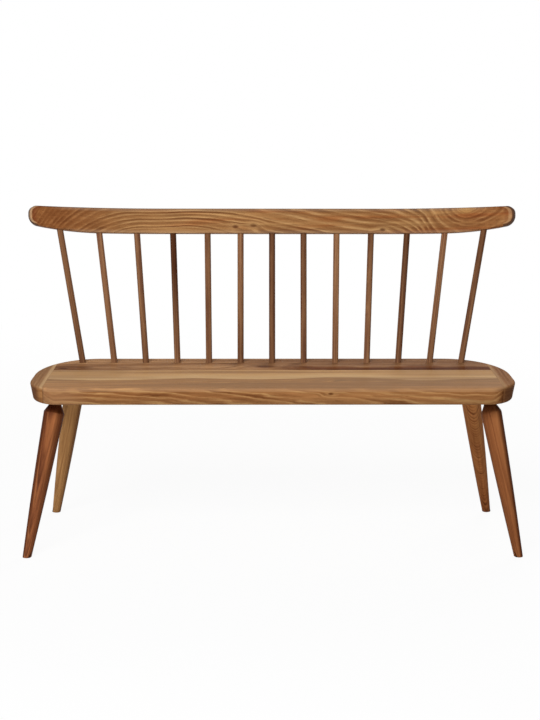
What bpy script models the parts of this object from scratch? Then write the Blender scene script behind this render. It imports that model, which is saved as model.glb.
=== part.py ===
"""Spindle-back bench in solid wood.

Two seat boards lie between two end caps and stand on four turned legs. A row of
leaning spindles rises from the rear board into one bent crest rail.

Metres, +Z up, the front towards -Y. The origin is on the floor, under the
middle of the bench's box.
"""

import math

import bmesh
import bpy
from mathutils import Vector

# Clearance between pieces that are glued or pushed together
FIT = 0.0003

# Seat
SEAT_HEIGHT = 0.445
SEAT_THICKNESS = 0.045
SEAT_WIDTH = 1.252
SEAT_DEPTH = 0.398
SEAT_UNDERCUT = 0.0055
SEAT_TOP_ROUND = 0.006
SEAT_BOTTOM_ROUND = 0.005
FRONT_CORNER_WIDTH = 0.076
FRONT_CORNER_DEPTH = 0.115
REAR_SWEEP_WIDTH = 0.156
REAR_SWEEP_DEPTH = 0.216
REAR_BOARD_WIDTH = 0.164
END_CAP_WIDTH = 0.043

# Loose tongues that key the seat boards and the end caps together
TONGUE_THICKNESS = 0.010
BOARD_TONGUE_WIDTH = 0.024
BOARD_TONGUE_STOP = 0.083
CAP_TONGUE_WIDTH = 0.018
CAP_TONGUE_FRONT_STOP = 0.069
CAP_TONGUE_REAR_STOP = 0.129

# Legs, turned to the same sizes and trimmed level at the floor. A socket is placed by
# its insets from the seat's end and edge, and a foot by how far it stands out from it.
LEG_TENON_DEPTH = 0.030
LEG_NECK_RADIUS = 0.0152
LEG_NECK_LENGTH = 0.016
LEG_SHOULDER_LENGTH = 0.022
LEG_SHOULDER_ROUND = 0.016
LEG_WIDEST_RADIUS = 0.0266
LEG_FOOT_RADIUS = 0.0112
LEG_SWELL = 0.0012
FOOT_CHAMFER = 0.0015
FRONT_SOCKET_END_INSET = 0.069
FRONT_SOCKET_EDGE_INSET = 0.0915
FRONT_FOOT_OUT = 0.076
FRONT_FOOT_AHEAD = 0.085
REAR_SOCKET_END_INSET = 0.094
REAR_SOCKET_EDGE_INSET = 0.1065
REAR_FOOT_OUT = 0.077
REAR_FOOT_BEHIND = 0.1225

# Spindles. The row is spaced evenly in the seat, and fans out in the rail, where each
# gap is wider than the one before it by the growth.
SPINDLE_COUNT = 13
SPINDLE_RADIUS = 0.0087
SPINDLE_TIP_RADIUS = 0.0062
SPINDLE_LENGTH = 0.352
SPINDLE_ROW_END_INSET = 0.1094
SPINDLE_ROW_EDGE_INSET = 0.0585
SPINDLE_SEAT_DEPTH = 0.026
SPINDLE_RAIL_DEPTH = 0.024
SPINDLE_RAIL_END_INSET = 0.0843
SPINDLE_GAP_GROWTH = 0.0041
BACK_LEAN = math.radians(12.5)

# Crest rail, straight in the middle and bent forward at its ends. The overhang is how
# much longer than the seat each end of its straight blank is.
RAIL_OVERHANG = 0.037
RAIL_HEIGHT = 0.068
RAIL_THICKNESS = 0.026
RAIL_EDGE_ROUND = 0.004
RAIL_STRAIGHT_LENGTH = 0.600
RAIL_BEND_RADIUS = 0.950
RAIL_SWEEP_LENGTH = 0.199
RAIL_SWEEP_RADIUS = 1.060
RAIL_TOP_CORNER = 0.018
RAIL_BOTTOM_CORNER = 0.024

# Facets of the curved surfaces
LEG_SIDES = 24
SPINDLE_SIDES = 12
CORNER_STEPS = 12
ROUND_STEPS = 3
SHOULDER_STEPS = 4
TAPER_STEPS = 6
RAIL_STEPS = 16
RAIL_CORNER_STEPS = 5
SHARP_ANGLE = math.radians(35)

# How far a cutter reaches past the face that it opens
OVERSHOOT = 0.006

# Places that follow from the sizes, with the seat's middle over (0, 0)
SEAT_FRONT = -SEAT_DEPTH / 2
SEAT_REAR = SEAT_DEPTH / 2
SEAT_UNDERSIDE = SEAT_HEIGHT - SEAT_THICKNESS
BOARD_JOINT = SEAT_REAR - REAR_BOARD_WIDTH
CAP_JOINT = SEAT_WIDTH / 2 - END_CAP_WIDTH
SPINDLE_ROW = SEAT_REAR - SPINDLE_ROW_EDGE_INSET
OUTER_PLACE = (SPINDLE_COUNT - 1) / 2
SPINDLE_PITCH = (SEAT_WIDTH / 2 - SPINDLE_ROW_END_INSET) / OUTER_PLACE
TONGUE_LEVEL = SEAT_HEIGHT - SEAT_THICKNESS / 2
RAIL_LENGTH = SEAT_WIDTH + 2 * RAIL_OVERHANG
LEAN_DIRECTION = Vector((0, math.sin(BACK_LEAN), math.cos(BACK_LEAN)))
RAIL_SEAT = Vector((0, SPINDLE_ROW, SEAT_HEIGHT)) + SPINDLE_LENGTH * LEAN_DIRECTION


def clear_scene():
    for item in list(bpy.data.objects):
        bpy.data.objects.remove(item)


def linear(level):
    """Linear value of one sRGB level from 0 to 255."""
    share = level / 255
    if share <= 0.04045:
        return share / 12.92
    return ((share + 0.055) / 1.055) ** 2.4


def wood(name, colour, roughness):
    """Oiled wood with its main colour given as sRGB levels."""
    material = bpy.data.materials.new(name)
    material.use_nodes = True
    shader = material.node_tree.nodes["Principled BSDF"]
    shader.inputs["Base Color"].default_value = [linear(level) for level in colour] + [1]
    shader.inputs["Roughness"].default_value = roughness
    shader.inputs["Metallic"].default_value = 0
    return material


def finished(name, bm, material, parent):
    """A named, smooth-shaded object from a bmesh, under its parent."""
    bmesh.ops.recalc_face_normals(bm, faces=bm.faces)
    mesh = bpy.data.meshes.new(name)
    bm.to_mesh(mesh)
    bm.free()
    mesh.shade_smooth()
    mesh.set_sharp_from_angle(angle=SHARP_ANGLE)
    piece = bpy.data.objects.new(name, mesh)
    bpy.context.scene.collection.objects.link(piece)
    piece.parent = parent
    if material:
        mesh.materials.append(material)
    return piece


def as_cutter(piece):
    piece.hide_render = True
    piece.display_type = "WIRE"
    return piece


def cut(piece, cutter):
    """Takes the cutter's shape out of a piece."""
    modifier = piece.modifiers.new(cutter.name, "BOOLEAN")
    modifier.operation = "DIFFERENCE"
    modifier.solver = "EXACT"
    modifier.object = cutter


def aim(direction):
    """Turn that points a piece's own +Z along a direction."""
    return direction.to_track_quat("Z", "Y")


def turn_profile(bm, profile, sides):
    """Spins (radius, height) points round +Z into a closed turned piece."""
    points = [bm.verts.new((radius, 0, height)) for radius, height in profile]
    line = [bm.edges.new(pair) for pair in zip(points, points[1:])]
    bmesh.ops.spin(
        bm,
        geom=points + line,
        cent=(0, 0, 0),
        axis=(0, 0, 1),
        angle=math.tau,
        steps=sides,
    )
    bmesh.ops.remove_doubles(bm, verts=bm.verts, dist=1e-6)


def add_turned(bm, profile, sides, place, direction):
    """Adds a turned piece to a bmesh, with its foot at place and its axis along direction."""
    piece = bmesh.new()
    turn_profile(piece, profile, sides)
    piece.transform(aim(direction).to_matrix().to_4x4())
    bmesh.ops.translate(piece, verts=piece.verts, vec=place)
    bmesh.ops.recalc_face_normals(piece, faces=piece.faces)
    mesh = bpy.data.meshes.new("turned")
    piece.to_mesh(mesh)
    piece.free()
    bm.from_mesh(mesh)
    bpy.data.meshes.remove(mesh)


def add_block(bm, low, high):
    """Adds a box between two corners."""
    made = bmesh.ops.create_cube(bm, size=1)["verts"]
    low = Vector(low)
    size = Vector(high) - low
    bmesh.ops.scale(bm, vec=size, verts=made)
    bmesh.ops.translate(bm, vec=low + size / 2, verts=made)


def skin_loops(bm, loops):
    """Joins closed loops of equal length, one above the other, with quads."""
    for lower, upper in zip(loops, loops[1:]):
        for i in range(len(lower)):
            j = (i + 1) % len(lower)
            bm.faces.new((lower[i], lower[j], upper[j], upper[i]))


# Seat

def seat_quadrant(centre, width, depth, start):
    """Points of an elliptical corner, each with the outward direction at it."""
    for step in range(CORNER_STEPS + 1):
        angle = start + math.pi / 2 * step / CORNER_STEPS
        point = Vector((centre[0] + width * math.cos(angle), centre[1] + depth * math.sin(angle)))
        outward = Vector((math.cos(angle) / width, math.sin(angle) / depth)).normalized()
        yield point, outward


def seat_outline(inset):
    """Plan of the seat, anticlockwise, moved in from the edge by inset."""
    half = SEAT_WIDTH / 2
    front_centre = (half - FRONT_CORNER_WIDTH, SEAT_FRONT + FRONT_CORNER_DEPTH)
    rear_centre = (half - REAR_SWEEP_WIDTH, SEAT_REAR - REAR_SWEEP_DEPTH)
    right = list(seat_quadrant(front_centre, FRONT_CORNER_WIDTH, FRONT_CORNER_DEPTH, -math.pi / 2))
    right += list(seat_quadrant(rear_centre, REAR_SWEEP_WIDTH, REAR_SWEEP_DEPTH, 0))
    right = [point - outward * inset for point, outward in right]
    left = [Vector((-point.x, point.y)) for point in reversed(right)]
    return right + left


def seat_section():
    """(inset, height) points of the seat's edge, from the underside up to the top face."""
    quarter = [math.pi / 2 * step / ROUND_STEPS for step in range(ROUND_STEPS + 1)]
    section = []
    for angle in quarter:
        inset = SEAT_UNDERCUT + SEAT_BOTTOM_ROUND * (1 - math.sin(angle))
        section.append((inset, SEAT_UNDERSIDE + SEAT_BOTTOM_ROUND * (1 - math.cos(angle))))
    for angle in quarter:
        inset = SEAT_TOP_ROUND * (1 - math.cos(angle))
        section.append((inset, SEAT_HEIGHT - SEAT_TOP_ROUND * (1 - math.sin(angle))))
    return section


def seat_blank():
    """The whole seat before it is parted into boards and caps."""
    bm = bmesh.new()
    loops = []
    for inset, height in seat_section():
        loops.append([bm.verts.new((point.x, point.y, height)) for point in seat_outline(inset)])
    skin_loops(bm, loops)
    bm.faces.new(loops[0])
    bm.faces.new(loops[-1])
    bmesh.ops.recalc_face_normals(bm, faces=bm.faces)
    return bm


def keep_side(bm, place, inward):
    """Saws the seat blank through a plane and keeps the side that inward points to."""
    geometry = list(bm.verts) + list(bm.edges) + list(bm.faces)
    sawn = bmesh.ops.bisect_plane(
        bm, geom=geometry, plane_co=place, plane_no=inward, clear_inner=True
    )["geom_cut"]
    edges = [item for item in sawn if isinstance(item, bmesh.types.BMEdge)]
    bmesh.ops.edgeloop_fill(bm, edges=edges)


def seat_piece(name, planes, material, parent):
    """One board or cap: the blank sawn along planes given as (place, inward)."""
    bm = seat_blank()
    for place, inward in planes:
        keep_side(bm, place, inward)
    return finished(name, bm, material, parent)


def lay_tongue(name, low, high, boards, material, parent):
    """A loose tongue between two corners, in a groove cut into the boards that it keys."""
    bm = bmesh.new()
    add_block(bm, low, high)
    tongue = finished(name, bm, material, parent)
    room = Vector((FIT, FIT, FIT))
    bm = bmesh.new()
    add_block(bm, Vector(low) - room, Vector(high) + room)
    groove = as_cutter(finished(name + "_groove", bm, None, parent))
    for board in boards:
        cut(board, groove)
    return tongue


def build_seat(materials, parent):
    """The boards, the caps and their tongues, which make up the seat."""
    saw = FIT / 2
    right_end = ((CAP_JOINT - saw, 0, 0), (-1, 0, 0))
    left_end = ((-CAP_JOINT + saw, 0, 0), (1, 0, 0))
    rear_board = seat_piece(
        "seat_rear_board",
        [right_end, left_end, ((0, BOARD_JOINT + saw, 0), (0, 1, 0))],
        materials["rear_board"],
        parent,
    )
    front_board = seat_piece(
        "seat_front_board",
        [right_end, left_end, ((0, BOARD_JOINT - saw, 0), (0, -1, 0))],
        materials["front_board"],
        parent,
    )
    caps = {}
    for name, side in (("end_cap_left", -1), ("end_cap_right", 1)):
        plane = ((side * (CAP_JOINT + saw), 0, 0), (side, 0, 0))
        caps[side] = seat_piece(name, [plane], materials["cap"], parent)

    low_level = TONGUE_LEVEL - TONGUE_THICKNESS / 2
    high_level = TONGUE_LEVEL + TONGUE_THICKNESS / 2
    reach = CAP_JOINT - BOARD_TONGUE_STOP
    low = (-reach, BOARD_JOINT - BOARD_TONGUE_WIDTH / 2, low_level)
    high = (reach, BOARD_JOINT + BOARD_TONGUE_WIDTH / 2, high_level)
    boards = (rear_board, front_board)
    tongues = [lay_tongue("board_tongue", low, high, boards, materials["tongue"], parent)]
    for name, side in (("cap_tongue_left", -1), ("cap_tongue_right", 1)):
        joint = side * CAP_JOINT
        low = (joint - CAP_TONGUE_WIDTH / 2, SEAT_FRONT + CAP_TONGUE_FRONT_STOP, low_level)
        high = (joint + CAP_TONGUE_WIDTH / 2, SEAT_REAR - CAP_TONGUE_REAR_STOP, high_level)
        boards = (rear_board, front_board, caps[side])
        tongues.append(lay_tongue(name, low, high, boards, materials["tongue"], parent))
    return [rear_board, front_board] + list(caps.values()) + tongues


# Legs

def leg_places():
    """Name, socket on the seat's underside and foot on the floor of each leg."""
    for side_name, side in (("left", -1), ("right", 1)):
        across = side * (SEAT_WIDTH / 2 - FRONT_SOCKET_END_INSET)
        socket = Vector((across, SEAT_FRONT + FRONT_SOCKET_EDGE_INSET, SEAT_UNDERSIDE))
        foot = Vector((across + side * FRONT_FOOT_OUT, socket.y - FRONT_FOOT_AHEAD, 0))
        yield "leg_front_" + side_name, socket, foot
        across = side * (SEAT_WIDTH / 2 - REAR_SOCKET_END_INSET)
        socket = Vector((across, SEAT_REAR - REAR_SOCKET_EDGE_INSET, SEAT_UNDERSIDE))
        foot = Vector((across + side * REAR_FOOT_OUT, socket.y + REAR_FOOT_BEHIND, 0))
        yield "leg_rear_" + side_name, socket, foot


def leg_profile(floor):
    """(radius, distance down from the underside) points, from the tenon's end past the floor."""
    shoulder_end = LEG_NECK_LENGTH + LEG_SHOULDER_LENGTH
    profile = [
        (0, FIT - LEG_TENON_DEPTH),
        (LEG_NECK_RADIUS, FIT - LEG_TENON_DEPTH),
        (LEG_NECK_RADIUS, 0),
        (LEG_NECK_RADIUS, LEG_NECK_LENGTH),
    ]
    # The shoulder's cone runs out in a round that meets the long taper
    cone = math.atan2(LEG_WIDEST_RADIUS - LEG_NECK_RADIUS, LEG_SHOULDER_LENGTH)
    taper_start = shoulder_end + LEG_SHOULDER_ROUND * math.tan(cone / 2)
    for step in range(SHOULDER_STEPS + 1):
        angle = cone * (1 - step / SHOULDER_STEPS)
        radius = LEG_WIDEST_RADIUS - LEG_SHOULDER_ROUND * (1 - math.cos(angle))
        profile.append((radius, taper_start - LEG_SHOULDER_ROUND * math.sin(angle)))
    for step in range(1, TAPER_STEPS + 1):
        share = step / TAPER_STEPS
        radius = LEG_WIDEST_RADIUS + (LEG_FOOT_RADIUS - LEG_WIDEST_RADIUS) * share
        radius += LEG_SWELL * math.sin(math.pi * share)
        profile.append((radius, taper_start + (floor - taper_start) * share))
    # Spare length below the floor, to be trimmed level
    spare_end = floor + 2 * LEG_FOOT_RADIUS
    return profile + [(LEG_FOOT_RADIUS, spare_end), (0, spare_end)]


def build_legs(material, parent):
    """Four legs, and the one cutter that bores their sockets."""
    bores = bmesh.new()
    for name, socket, foot in leg_places():
        run = foot - socket
        turn = aim(run)
        bm = bmesh.new()
        turn_profile(bm, leg_profile(run.length), LEG_SIDES)
        up = turn.inverted() @ Vector((0, 0, 1))
        geometry = list(bm.verts) + list(bm.edges) + list(bm.faces)
        trimmed = bmesh.ops.bisect_plane(
            bm, geom=geometry, plane_co=(0, 0, run.length), plane_no=up, clear_inner=True
        )["geom_cut"]
        edges = [item for item in trimmed if isinstance(item, bmesh.types.BMEdge)]
        sole = bmesh.ops.edgeloop_fill(bm, edges=edges)["faces"]
        rim = list({edge for face in sole for edge in face.edges})
        bmesh.ops.bevel(
            bm, geom=rim, offset=FOOT_CHAMFER, segments=1, affect="EDGES", profile=0.5
        )
        leg = finished(name, bm, material, parent)
        leg.location = socket
        leg.rotation_mode = "QUATERNION"
        leg.rotation_quaternion = turn

        radius = LEG_NECK_RADIUS + FIT
        bore = [(0, -LEG_TENON_DEPTH), (radius, -LEG_TENON_DEPTH), (radius, OVERSHOOT), (0, OVERSHOOT)]
        add_turned(bores, bore, LEG_SIDES, socket, run)
    return as_cutter(finished("leg_bores", bores, None, parent))


# Crest rail

def rail_line(along):
    """Centre line of the rail in its own plane: across, forward and heading at a length along it."""
    straight = RAIL_STRAIGHT_LENGTH / 2
    turned = max(abs(along) - straight, 0) / RAIL_BEND_RADIUS
    across = min(abs(along), straight) + RAIL_BEND_RADIUS * math.sin(turned)
    forward = RAIL_BEND_RADIUS * (1 - math.cos(turned))
    return math.copysign(across, along), forward, math.copysign(turned, along)


def rail_point(along, behind, above):
    """Place in the rail's own frame of a point of the straight blank."""
    across, forward, heading = rail_line(along)
    return Vector((
        across + behind * math.sin(heading),
        behind * math.cos(heading) - forward,
        above,
    ))


def rail_sweep(along):
    """Rise of the lower edge towards the rail's end."""
    start = RAIL_LENGTH / 2 - RAIL_SWEEP_LENGTH
    run = max(abs(along) - start, 0)
    return RAIL_SWEEP_RADIUS - math.sqrt(RAIL_SWEEP_RADIUS ** 2 - run ** 2)


def rail_half_edge(corner, height_at):
    """(along, above) points of one edge from the rail's middle round its end corner."""
    end = RAIL_LENGTH / 2
    edge = []
    for step in range(RAIL_STEPS + 1):
        along = (end - corner) * step / RAIL_STEPS
        edge.append(Vector((along, height_at(along, 0))))
    for step in range(1, RAIL_CORNER_STEPS + 1):
        angle = math.pi / 2 * step / RAIL_CORNER_STEPS
        along = end - corner * (1 - math.sin(angle))
        edge.append(Vector((along, height_at(along, corner * (1 - math.cos(angle))))))
    return edge


def rail_outline():
    """Face of the straight blank, anticlockwise, lower edge first."""
    lower = rail_half_edge(RAIL_BOTTOM_CORNER, lambda along, rise: rail_sweep(along) + rise)
    upper = rail_half_edge(RAIL_TOP_CORNER, lambda along, drop: RAIL_HEIGHT - drop)
    lower_left = [Vector((-point.x, point.y)) for point in reversed(lower[1:])]
    upper_left = [Vector((-point.x, point.y)) for point in upper[1:]]
    return lower_left + lower + list(reversed(upper)) + upper_left


def inset_outline(outline, inset):
    """The outline moved in by inset, square to itself."""
    moved = []
    for i, point in enumerate(outline):
        before = outline[i - 1]
        after = outline[(i + 1) % len(outline)]
        heading = ((point - before).normalized() + (after - point).normalized()).normalized()
        moved.append(point + Vector((-heading.y, heading.x)) * inset)
    return moved


def build_rail(material, parent):
    """The bent rail, its long edges rounded over, standing on the spindles."""
    outline = rail_outline()
    count = len(outline)
    half = RAIL_THICKNESS / 2
    quarter = [math.pi / 2 * step / ROUND_STEPS for step in range(ROUND_STEPS + 1)]
    front = [
        (RAIL_EDGE_ROUND * (1 - math.sin(angle)), RAIL_EDGE_ROUND * (1 - math.cos(angle)) - half)
        for angle in quarter
    ]
    section = front + [(inset, -behind) for inset, behind in reversed(front)]
    bm = bmesh.new()
    loops = []
    for inset, behind in section:
        face = inset_outline(outline, inset)
        loops.append([bm.verts.new(rail_point(point.x, behind, point.y)) for point in face])
    skin_loops(bm, loops)
    for loop in (loops[0], loops[-1]):
        for i in range(count // 2 - 1):
            bm.faces.new((loop[i], loop[i + 1], loop[count - 2 - i], loop[count - 1 - i]))
    rail = finished("crest_rail", bm, material, parent)
    rail.location = RAIL_SEAT
    rail.rotation_euler = (-BACK_LEAN, 0, 0)
    return rail


# Spindles

def rail_place(place):
    """Length along the rail, from its middle, at which a spindle enters it."""
    fan = SPINDLE_GAP_GROWTH * OUTER_PLACE * (OUTER_PLACE - 1) / 2
    first_gap = (RAIL_LENGTH / 2 - SPINDLE_RAIL_END_INSET - fan) / OUTER_PLACE
    count = abs(place)
    along = count * first_gap + SPINDLE_GAP_GROWTH * count * (count - 1) / 2
    return math.copysign(along, place)


def spindle_ends(place):
    """Where a spindle leaves the seat and enters the rail. Place counts from the middle."""
    foot = Vector((place * SPINDLE_PITCH, SPINDLE_ROW, SEAT_HEIGHT))
    along = rail_place(place)
    in_rail = rail_point(along, 0, rail_sweep(along))
    behind = Vector((0, math.cos(BACK_LEAN), -math.sin(BACK_LEAN)))
    top = RAIL_SEAT + Vector((in_rail.x, 0, 0)) + behind * in_rail.y + LEAN_DIRECTION * in_rail.z
    return foot, top


def spindle_profile(length, room, overshoot):
    """(radius, height) points of a spindle, or of its two sockets, which have room to spare."""
    seat_tip = -SPINDLE_SEAT_DEPTH + FIT - room
    rail_tip = length + SPINDLE_RAIL_DEPTH - FIT + room
    shaft = SPINDLE_RADIUS + room
    tip = SPINDLE_TIP_RADIUS + room
    seat_end = [(0, seat_tip), (tip, seat_tip), (shaft, 0)]
    rail_end = [(shaft, length), (tip, rail_tip), (0, rail_tip)]
    if overshoot:
        seat_end += [(shaft, overshoot), (0, overshoot)]
        rail_end = [(0, length - overshoot), (shaft, length - overshoot)] + rail_end
    return seat_end, rail_end


def build_spindles(material, parent):
    """The row of spindles, and the cutters that bore the seat's and the rail's sockets."""
    seat_bores = bmesh.new()
    rail_bores = bmesh.new()
    for number in range(SPINDLE_COUNT):
        foot, top = spindle_ends(number - OUTER_PLACE)
        run = top - foot
        seat_end, rail_end = spindle_profile(run.length, 0, 0)
        bm = bmesh.new()
        turn_profile(bm, seat_end + rail_end, SPINDLE_SIDES)
        spindle = finished(f"spindle_{number + 1:02d}", bm, material, parent)
        spindle.location = foot
        spindle.rotation_mode = "QUATERNION"
        spindle.rotation_quaternion = aim(run)

        seat_bore, rail_bore = spindle_profile(run.length, FIT, OVERSHOOT)
        add_turned(seat_bores, seat_bore, SPINDLE_SIDES, foot, run)
        add_turned(rail_bores, rail_bore, SPINDLE_SIDES, foot, run)
    seat_bores = as_cutter(finished("spindle_seat_bores", seat_bores, None, parent))
    rail_bores = as_cutter(finished("spindle_rail_bores", rail_bores, None, parent))
    return seat_bores, rail_bores


# Whole bench

def middle_of_depth():
    """Middle of the bench's box from front to back, counted from the seat's middle."""
    feet = [foot.y for name, socket, foot in leg_places()]
    rail_top = RAIL_SEAT + (RAIL_HEIGHT - RAIL_EDGE_ROUND) * LEAN_DIRECTION
    rail_back = rail_top.y + RAIL_THICKNESS / 2 * math.cos(BACK_LEAN)
    front = min(min(feet) - LEG_FOOT_RADIUS, SEAT_FRONT)
    rear = max(max(feet) + LEG_FOOT_RADIUS, SEAT_REAR, rail_back)
    return (front + rear) / 2


def build_bench():
    bench = bpy.data.objects.new("bench", None)
    bpy.context.scene.collection.objects.link(bench)
    bench.location = (0, -middle_of_depth(), 0)
    materials = {
        "rail": wood("rail_wood", (152, 106, 65), 0.45),
        "spindle": wood("spindle_wood", (124, 86, 60), 0.45),
        "leg": wood("leg_wood", (129, 87, 60), 0.45),
        "rear_board": wood("seat_rear_wood", (135, 97, 68), 0.5),
        "front_board": wood("seat_front_wood", (160, 121, 85), 0.5),
        "cap": wood("end_cap_wood", (149, 113, 85), 0.5),
        "tongue": wood("tongue_wood", (196, 164, 122), 0.7),
    }
    seat_pieces = build_seat(materials, bench)
    leg_bores = build_legs(materials["leg"], bench)
    rail = build_rail(materials["rail"], bench)
    seat_bores, rail_bores = build_spindles(materials["spindle"], bench)
    # The sockets are bored once the seat is glued up, through whatever they meet
    for piece in seat_pieces:
        cut(piece, leg_bores)
        cut(piece, seat_bores)
    cut(rail, rail_bores)


clear_scene()
build_bench()
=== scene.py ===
"""Looks of the spindle-back bench: its turned, sawn and bent pieces in oiled wood.

Metres, +Z up, the front towards -Y. Every piece takes its place from the frame.
"""

import math

import bmesh
import bpy
from mathutils import Euler, Matrix, Vector


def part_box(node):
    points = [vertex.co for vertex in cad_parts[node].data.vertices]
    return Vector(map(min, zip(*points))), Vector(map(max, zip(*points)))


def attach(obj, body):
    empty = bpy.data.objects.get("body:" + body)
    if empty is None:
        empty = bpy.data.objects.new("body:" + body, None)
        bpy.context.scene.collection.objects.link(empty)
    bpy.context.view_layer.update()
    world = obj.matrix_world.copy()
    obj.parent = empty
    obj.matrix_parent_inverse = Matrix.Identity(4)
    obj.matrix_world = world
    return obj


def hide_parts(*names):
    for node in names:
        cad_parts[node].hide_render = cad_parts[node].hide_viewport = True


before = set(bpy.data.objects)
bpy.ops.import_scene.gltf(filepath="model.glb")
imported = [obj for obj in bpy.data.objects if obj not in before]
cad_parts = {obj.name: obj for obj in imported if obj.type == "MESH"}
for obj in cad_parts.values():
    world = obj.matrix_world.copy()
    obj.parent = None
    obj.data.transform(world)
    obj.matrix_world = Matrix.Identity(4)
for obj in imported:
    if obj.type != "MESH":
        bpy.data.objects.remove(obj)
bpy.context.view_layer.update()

# Clearance in the sockets, and the small chamfer along the seat's glued joints
FIT = 0.0003
JOINT_ARRIS = 0.0004

# Seat
SEAT_UNDERCUT = 0.0055
SEAT_TOP_ROUND = 0.006
SEAT_BOTTOM_ROUND = 0.005
FRONT_CORNER = (0.076, 0.115)
REAR_SWEEP = (0.156, 0.216)

# Legs
LEG_TENON_DEPTH = 0.030
LEG_NECK_RADIUS = 0.0152
LEG_NECK_LENGTH = 0.016
LEG_SHOULDER_LENGTH = 0.022
LEG_WIDEST_RADIUS = 0.0266
LEG_FOOT_RADIUS = 0.0112
LEG_SWELL = 0.0012
FOOT_CHAMFER = 0.0015
CRISP_SHOULDER = 0.005
SOFT_SHOULDER = 0.016

# Spindles
SPINDLE_RADIUS = 0.0085
SPINDLE_TIP_RADIUS = 0.0062
SPINDLE_SEAT_DEPTH = 0.026
SPINDLE_RAIL_DEPTH = 0.024
SPINDLE_END_RUN = 10 * FIT

# Crest rail
RAIL_LENGTH = 1.326
RAIL_HEIGHT = 0.068
RAIL_THICKNESS = 0.026
RAIL_EDGE_ROUND = 0.0035
RAIL_STRAIGHT_LENGTH = 0.600
RAIL_BEND_RADIUS = 0.950
RAIL_SWEEP_LENGTH = 0.199
RAIL_SWEEP_RADIUS = 1.060
RAIL_TOP_CORNER = 0.018
RAIL_BOTTOM_CORNER = 0.024

# Fineness of the curved surfaces
SEAT_CORNER_STEPS = 28
ROUND_STEPS = 6
LEG_SIDES = 48
LEG_TAPER_STEPS = 20
SHOULDER_STEPS = 6
SPINDLE_SIDES = 28
RAIL_STATIONS = 176
RAIL_ROWS = 12
RAIL_CORNER_STEPS = 12
BEND_POINTS = 264
NEAR = 1e-5
SMOOTH_ANGLE = math.radians(32)


# Working by hand

def take(piece):
    """Selects one piece alone and makes it active."""
    bpy.ops.object.select_all(action="DESELECT")
    piece.select_set(True)
    bpy.context.view_layer.objects.active = piece


def pick_all():
    bpy.ops.mesh.select_all(action="SELECT")


def edit(piece):
    take(piece)
    bpy.ops.object.mode_set(mode="EDIT")
    pick_all()


def leave():
    bpy.ops.object.mode_set(mode="OBJECT")


def named(piece, name):
    piece.name = name
    piece.data.name = name
    return piece


def new_piece(name):
    """Names the primitive that was just added and puts its place into its mesh."""
    bpy.ops.object.transform_apply(location=True, rotation=True, scale=True)
    return named(bpy.context.object, name)


def copied(piece, name):
    """A copy of a piece with its own mesh."""
    take(piece)
    bpy.ops.object.duplicate()
    return named(bpy.context.object, name)


def pick(piece, kind, test):
    """In edit mode, selects only the verts or the edges that pass a test."""
    modes = {"verts": "VERT", "edges": "EDGE"}
    bpy.ops.mesh.select_mode(type=modes[kind])
    bpy.ops.mesh.select_all(action="DESELECT")
    mesh = bmesh.from_edit_mesh(piece.data)
    for item in getattr(mesh, kind):
        if test(item):
            item.select_set(True)
    mesh.select_flush_mode()
    bmesh.update_edit_mesh(piece.data)


def turn_outwards():
    """In edit mode, turns all the faces outwards."""
    pick_all()
    bpy.ops.mesh.normals_make_consistent(inside=False)


def pick_edges_on(piece, place, facing):
    """In edit mode, selects only the edges that lie in a plane."""
    start, way = Vector(place), Vector(facing)
    pick(piece, "edges", lambda edge: all(abs((v.co - start) @ way) < NEAR for v in edge.verts))


def bevel(width, steps, affect="EDGES"):
    """In edit mode, bevels what is picked. Several steps make a round."""
    bpy.ops.mesh.bevel(affect=affect, offset=width, segments=steps, profile=0.5)


def draw_out(*way):
    """In edit mode, extrudes what is picked."""
    bpy.ops.mesh.extrude_region_move(TRANSFORM_OT_translate={"value": way})


def cut(place, facing, clear=False):
    """In edit mode, cuts along a plane. Clear takes what lies behind it and closes the cut."""
    pick_all()
    bpy.ops.mesh.bisect(plane_co=place, plane_no=facing, use_fill=clear, clear_inner=clear)


def apply_modifier(piece, kind, **settings):
    take(piece)
    modifier = piece.modifiers.new(kind.lower(), kind)
    for key, value in settings.items():
        setattr(modifier, key, value)
    bpy.ops.object.modifier_apply(modifier=modifier.name)


def mark_round(piece):
    """Marks the middle of the round that was just bevelled, whose colour is changed later: a
    painted highlight on the seat's top round, darker on the rail's upper rim.
    """
    mesh = bmesh.from_edit_mesh(piece.data)
    layer = mesh.verts.layers.float.get("rim") or mesh.verts.layers.float.new("rim")
    for vert in mesh.verts:
        if vert.select and all(face.select for face in vert.link_faces):
            vert[layer] = 1


def bore(piece, cutter):
    """Takes the cutter's shape out of a piece."""
    apply_modifier(piece, "BOOLEAN", operation="DIFFERENCE", solver="EXACT", object=cutter)


def set_out(name, data):
    """Puts a new object into the scene."""
    thing = bpy.data.objects.new(name, data)
    bpy.context.scene.collection.objects.link(thing)
    return thing


def throw_away(*pieces):
    for piece in pieces:
        bpy.data.objects.remove(piece)


def tidy_mesh(piece):
    """Merges doubles, turns the faces outwards and shades the round surfaces smooth."""
    edit(piece)
    bpy.ops.mesh.remove_doubles(threshold=NEAR)
    turn_outwards()
    leave()
    bpy.ops.object.shade_smooth_by_angle(angle=SMOOTH_ANGLE)


def give_wood(piece, wood):
    piece.data.materials.clear()
    piece.data.materials.append(WOODS[wood])


def stand_in(piece, node, slot, wood=None):
    """Lets the finished piece stand in for its CAD node, in its slot's wood or another."""
    give_wood(piece, wood or slot)
    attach(piece, "root")
    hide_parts(node)


def lay_grain(piece, to_log, tone=lambda place: 0.0):
    """Stores where each corner lay in its log, with +X along the grain, and how dark it is, which
    on the legs is painted shade.
    """
    corners = [vert.co for vert in piece.data.vertices]
    store(piece, "log_place", "FLOAT_VECTOR", [to_log @ corner for corner in corners])
    store(piece, "tone", "FLOAT", [tone(corner) for corner in corners])


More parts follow.
